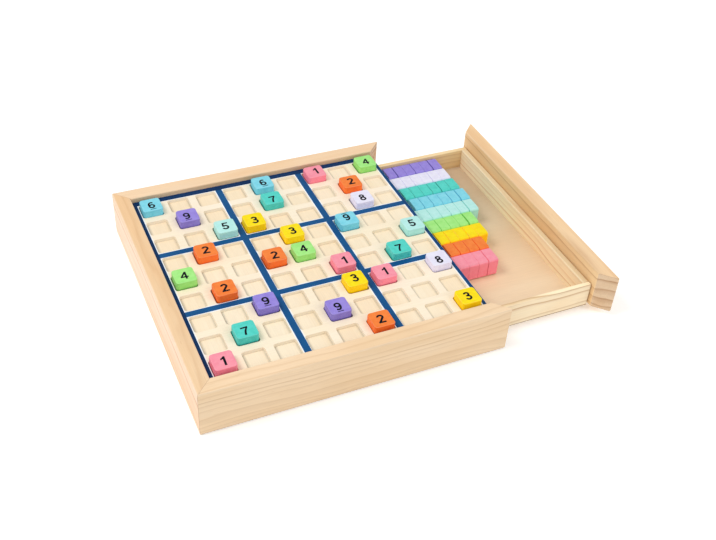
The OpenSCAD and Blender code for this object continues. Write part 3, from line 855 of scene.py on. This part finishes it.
def add_tile(bm, matrix, w=TILE_W - 0.2, t=TILE_T, r=TILE_R, top=0.6, bottom=0.45):
    rim = bm.verts.layers.float.get("rim") or bm.verts.layers.float.new("rim")
    loops = []
    rows = tile_rings(w, t, r, top, bottom)
    for k, (h, rc, z) in enumerate(rows):
        ring = [bm.verts.new(matrix @ Vector((x, y, z))) for x, y in round_square(0, 0, h, rc, 6)]
        for v in ring:
            v[rim] = 1.0 if k in (1, 2) or 5 <= k <= 7 else 0.0
        loops.append(ring)
    n = len(loops[0])
    for a, b in zip(loops, loops[1:]):
        for i in range(n):
            j = (i + 1) % n
            bm.faces.new((a[i], a[j], b[j], b[i]))
    bm.faces.new(loops[0])
    bm.faces.new(loops[-1])


def disc_band(cx, cy, a, b, w, start=0.0, end=360.0):
    """A band of width w along an ellipse of radii a and b, from one angle round to another."""
    t0, t1 = math.radians(start), math.radians(end)

    def f(x, y):
        px, py = x - cx, y - cy
        k1 = np.sqrt((px / a) ** 2 + (py / b) ** 2) + 1e-9
        k2 = np.sqrt((px / a ** 2) ** 2 + (py / b ** 2) ** 2) + 1e-9
        d = np.abs(k1 * (k1 - 1) / k2) - w / 2
        if end - start >= 360:
            return d
        c0 = -(a * math.cos(t0) * py - b * math.sin(t0) * px) / math.hypot(a * math.cos(t0), b * math.sin(t0))
        c1 = -(px * b * math.sin(t1) - py * a * math.cos(t1)) / math.hypot(a * math.cos(t1), b * math.sin(t1))
        return np.maximum(d, np.maximum(c0, c1) if end - start <= 180 else np.minimum(c0, c1))
    return f


def block(*pts):
    """The inside of a closed outline."""
    def f(x, y):
        best = np.full(np.shape(x), 1e9)
        inside = np.zeros(np.shape(x), bool)
        for (x0, y0), (x1, y1) in zip(pts, pts[1:] + pts[:1]):
            ex, ey = x1 - x0, y1 - y0
            t = np.clip(((x - x0) * ex + (y - y0) * ey) / (ex * ex + ey * ey), 0, 1)
            best = np.minimum(best, np.hypot(x - x0 - t * ex, y - y0 - t * ey))
            cross = ((y0 > y) != (y1 > y)) & (x < (x1 - x0) * (y - y0) / ((y1 - y0) or 1e-9) + x0)
            inside ^= cross
        return np.where(inside, -best, best)
    return f


def stroke(x0, y0, x1, y1, w):
    n = math.hypot(x1 - x0, y1 - y0)
    ux, uy = (x1 - x0) / n, (y1 - y0) / n
    return block((x0 + uy * w / 2, y0 - ux * w / 2), (x1 + uy * w / 2, y1 - ux * w / 2),
                 (x1 - uy * w / 2, y1 + ux * w / 2), (x0 - uy * w / 2, y0 + ux * w / 2))


def rect(x0, x1, y0, y1):
    return block((x0, y0), (x1, y0), (x1, y1), (x0, y1))


W = 1.62
SHAPES = {
    1: [block((2.75, 0), (4.45, 0), (4.45, 9), (3.15, 9), (2.7, 8.3), (1.95, 7.6), (0.95, 7.05), (0.95, 5.6), (1.95, 6.0), (2.75, 6.5))],
    2: [disc_band(3.3, 6.3, 2.0, 1.88, W, -32, 168), stroke(5.1, 5.62, 1.35, 0.85, 1.66), rect(0.4, 6.3, 0, 1.55)],
    3: [disc_band(3.15, 6.6, 1.75, 1.6, W, -90, 165), disc_band(3.2, 2.75, 2.05, 1.95, W, -168, 90), rect(2.2, 3.3, 4.05, 5.6)],
    4: [block((0.25, 1.95), (6.75, 1.95), (6.75, 3.4), (0.25, 3.4)), rect(3.95, 5.6, 0, 9), stroke(0.95, 2.95, 4.75, 8.45, 1.5),
        block((4.1, 9), (5.6, 9), (5.6, 7.2), (3.6, 7.2))],
    5: [rect(1.25, 5.9, 7.5, 9.0), block((1.25, 9), (2.75, 9), (2.25, 4.95), (0.75, 4.35)), disc_band(3.2, 2.95, 2.12, 2.12, W, -166, 148)],
    6: [disc_band(3.35, 2.92, 2.1, 2.1, W), disc_band(3.75, 4.45, 2.5, 3.72, W, 48, 192)],
    7: [rect(0.45, 6.35, 7.45, 9.0), block((6.35, 9), (6.35, 7.75), (5.3, 6.3), (4.45, 4.7), (3.7, 2.7), (3.3, 1.2), (3.15, 0),
                                           (1.5, 0), (1.7, 1.5), (2.2, 3.3), (3.0, 5.2), (3.9, 6.6), (4.6, 7.5), (4.6, 9))],
    8: [disc_band(3.3, 6.65, 1.68, 1.55, W), disc_band(3.3, 2.72, 2.0, 1.9, W)],
}


def outline(f, x0, x1, y0, y1, step=0.11):
    """Closed loops where f changes sign, found cell by cell on a fine grid."""
    xs, ys = np.arange(x0, x1, step), np.arange(y0, y1, step)
    v = f(*np.meshgrid(xs, ys, indexing="ij")) + 1e-7
    links = {}

    def cut(i, j, k):
        # k 0: the edge along x from (i, j); k 1: along y
        a, b = v[i, j], v[i + 1, j] if k == 0 else v[i, j + 1]
        t = a / (a - b)
        return (xs[i] + t * step, ys[j]) if k == 0 else (xs[i], ys[j] + t * step)

    for i in range(len(xs) - 1):
        for j in range(len(ys) - 1):
            c = [v[i, j] < 0, v[i + 1, j] < 0, v[i + 1, j + 1] < 0, v[i, j + 1] < 0]
            if all(c) or not any(c):
                continue
            edges = [(i, j, 0), (i + 1, j, 1), (i, j + 1, 0), (i, j, 1)]
            hit = [e for k, e in enumerate(edges) if c[k] != c[(k + 1) % 4]]
            for a, b in zip(hit[::2], hit[1::2]):
                links.setdefault(a, []).append(b)
                links.setdefault(b, []).append(a)
    loops = []
    while links:
        start = next(iter(links))
        at, chain = start, []
        while True:
            chain.append(at)
            step_to = links.pop(at, [])
            nxt = [e for e in step_to if e in links]
            if not nxt:
                break
            at = nxt[0]
        loops.append([cut(*e) for e in chain])
    return loops


def thin_out(loop, tol=0.012):
    """Drops the points of a loop that lie on a straight run."""
    pts = list(loop)
    changed = True
    while changed and len(pts) > 6:
        changed = False
        keep, i = [], 0
        while i < len(pts):
            a, b, c = pts[i - 1] if not keep else keep[-1], pts[i], pts[(i + 1) % len(pts)]
            ex, ey = c[0] - a[0], c[1] - a[1]
            n = math.hypot(ex, ey) or 1e-9
            off = abs((b[0] - a[0]) * ey - (b[1] - a[1]) * ex) / n
            if off < tol and n < 0.9 and i + 1 < len(pts):
                keep.append(c)
                i += 2
                changed = True
            else:
                keep.append(b)
                i += 1
        pts = keep
    return pts


def numeral_mesh(n):
    """A numeral as a thin closed film, centred, in mm, its height along Y."""
    shapes = SHAPES[6 if n == 9 else n]
    # a bar under the numeral tells six from nine
    under = rect(0.65, 6.05, -1.62, -0.95)

    def f(x, y):
        turned = (6.7 - x, 9.0 - y) if n == 9 else (x, y)
        all_in = [s(*turned) for s in shapes] + ([under(x, y)] if n in (6, 9) else [])
        return np.minimum.reduce(all_in)

    loops = [thin_out(l) for l in outline(f, -0.6, 7.6, -2.2, 9.6)]
    pts = [Vector(p) for l in loops for p in l]
    edges, base = [], 0
    for l in loops:
        edges += [(base + i, base + (i + 1) % len(l)) for i in range(len(l))]
        base += len(l)
    got = delaunay_2d_cdt(pts, edges, [], 0, 1e-7)
    flat = got[0]
    bm = bmesh.new()
    low = [bm.verts.new((p.x, p.y, 0.0)) for p in flat]
    top = [bm.verts.new((p.x, p.y, 0.05)) for p in flat]
    for tri in got[2]:
        m = sum((flat[i] for i in tri), Vector((0, 0))) / len(tri)
        if float(f(np.array([m.x]), np.array([m.y]))[0]) < 0:
            bm.faces.new([top[i] for i in tri])
            bm.faces.new([low[i] for i in reversed(tri)])
    side = [e for e in bm.edges if len(e.link_faces) == 1 and e.verts[0].co.z > 0.02]
    bm.verts.index_update()
    pair = {t: l for t, l in zip(top, low)}
    for e in side:
        a, b = e.verts
        bm.faces.new((a, b, pair[b], pair[a]))
    bmesh.ops.delete(bm, geom=[v for v in bm.verts if not v.link_faces], context="VERTS")
    lo = [min(v.co[k] for v in bm.verts) for k in range(2)]
    hi = [max(v.co[k] for v in bm.verts) for k in range(2)]
    bmesh.ops.translate(bm, vec=(-(lo[0] + hi[0]) / 2, -(lo[1] + hi[1]) / 2, 0), verts=bm.verts)
    size = {4: 0.93, 6: 0.93, 7: 0.92, 8: 0.95, 9: 0.93}.get(n, 0.98)
    bmesh.ops.scale(bm, vec=(size, size, 1.0), verts=bm.verts)
    return bm


NUMERAL = {n: numeral_mesh(n) for n in range(1, 10)}


def add_numeral(name, n, matrix, parent_body):
    bm = NUMERAL[n].copy()
    bmesh.ops.transform(bm, matrix=matrix, verts=bm.verts)
    return to_piece(name, bm, M_NAVY, parent_body)


rng = random.Random(20)
for n, r, c in SEATED:
    tag = "%d_r%dc%d" % (n, r, c)
    spin = math.radians(rng.uniform(-0.5, 0.5))
    lie_x, lie_y, num_x, num_y, num_turn = PLACED[(r, c)]
    at = Matrix.Translation(((c - 5) * CELL + lie_x, (5 - r) * CELL + SHIFT_Y + lie_y, POCKET_FLOOR + 0.04))
    at = at @ Matrix.Rotation(spin, 4, "Z")
    bm = bmesh.new()
    add_tile(bm, at)
    body = "loose_tile_" + tag
    to_piece("painted_tile_" + tag, bm, M_TILE[n], body, ["tile_" + tag])
    turn = math.radians(num_turn) + (math.pi if (r, c) == (4, 7) else 0.0)
    up = at @ Matrix.Translation((num_x, num_y, TILE_T)) @ Matrix.Rotation(turn, 4, "Z")
    add_numeral("numeral_" + tag, n, up, body)

for k, (n, count, gap) in enumerate(ROWS):
    right = DRAWER_R - gap
    y = 92.8 - 16.8 * k
    bm = bmesh.new()
    for i in range(1, count + 1):
        near, far = ((0.0,) + LEAN[n] + (0.0,))[i - 1:i + 1]
        thick = TILE_T - (near + far) / 2
        x = right - i * (TILE_T + 0.04) + far / 2
        tilt = Matrix.Rotation(math.radians(rng.uniform(-0.12, 0.12)), 4, "Z")
        at = Matrix.Translation((x, y + rng.uniform(-0.05, 0.05), FLOOR_TOP + 0.04 + TILE_W / 2))
        stand = at @ tilt @ Matrix.Rotation(math.pi / 2, 4, "Y") @ Matrix.Rotation(math.pi / 2, 4, "Z")
        add_tile(bm, stand, TILE_W - rng.uniform(0.0, 0.12), thick, TILE_R, *((0.14, 0.14) if n == 1 else (0.30, 0.30)))
        if i == 1:
            end = at @ tilt @ Matrix.Translation((thick, 0, 0)) @ Matrix.Rotation(math.pi / 2, 4, "Y") @ Matrix.Rotation(math.pi / 2, 4, "Z")
    to_piece("painted_row_%d" % n, bm, M_TILE[n], "drawer_row_%d" % n, ["drawer_tiles_%d" % n])
    add_numeral("numeral_row_%d" % n, n, end, "drawer_row_%d" % n)

for bm in NUMERAL.values():
    bm.free()

# ---------------------------------------------------------------- pins
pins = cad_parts["base_pins"]
pins.data.materials.clear()
pins.data.materials.append(M_STEEL)

# ---------------------------------------------------------------- floor, light, camera
floor_mesh = bpy.data.meshes.new("studio_floor")
bm = bmesh.new()
bmesh.ops.create_grid(bm, x_segments=2, y_segments=2, size=5.0)
bm.to_mesh(floor_mesh)
bm.free()
floor = bpy.data.objects.new("studio_floor", floor_mesh)
floor.location = (0, 0, -0.0002)
bpy.context.scene.collection.objects.link(floor)
s = Surface("studio_paper")
tooth = s.noise(s.coord, 900.0, 3.0, 0.6)
s.set(Base_Color=s.ramp(tooth, [(0.3, (0.955, 0.955, 0.955, 1)), (0.7, (0.975, 0.975, 0.975, 1))]))
s.bsdf.inputs["Roughness"].default_value = 0.9
s.bsdf.inputs["Specular IOR Level"].default_value = 0.1
s.bsdf.inputs["Emission Color"].default_value = (1.0, 1.0, 1.0, 1.0)
s.bsdf.inputs["Emission Strength"].default_value = 0.23
floor_mesh.materials.append(s.mat)

world = bpy.data.worlds.new("studio")
world.use_nodes = True
world.node_tree.nodes["Background"].inputs[0].default_value = (1.0, 1.0, 1.0, 1.0)
world.node_tree.nodes["Background"].inputs[1].default_value = 0.65
bpy.context.scene.world = world


def area(name, at, aim, size, power, colour=(1, 1, 1)):
    data = bpy.data.lights.new(name, "AREA")
    data.shape, data.size, data.energy, data.color = "DISK", size, power, colour
    ob = bpy.data.objects.new(name, data)
    ob.location = at
    ob.rotation_euler = (Vector(aim) - Vector(at)).to_track_quat("-Z", "Y").to_euler()
    bpy.context.scene.collection.objects.link(ob)


area("key", (-0.90, 0.10, 1.42), (0.04, 0.0, 0.02), 0.75, 10.6)
area("fill", (0.75, -0.95, 0.95), (0.08, 0.0, 0.02), 1.0, 4.5)

cam_data = bpy.data.cameras.new("camera")
cam_data.sensor_width = 36.0
cam_data.sensor_fit = "HORIZONTAL"
cam_data.lens = 49.8503
cam_data.clip_start, cam_data.clip_end = 0.01, 50.0
cam = bpy.data.objects.new("camera", cam_data)
cam.location = (-0.228595, -0.566433, 0.528769)
cam.rotation_euler = tuple(math.radians(a) for a in (50.1333, -2.9351, -23.7602))
bpy.context.scene.collection.objects.link(cam)
bpy.context.scene.camera = cam
bpy.context.scene.view_settings.view_transform = "Standard"
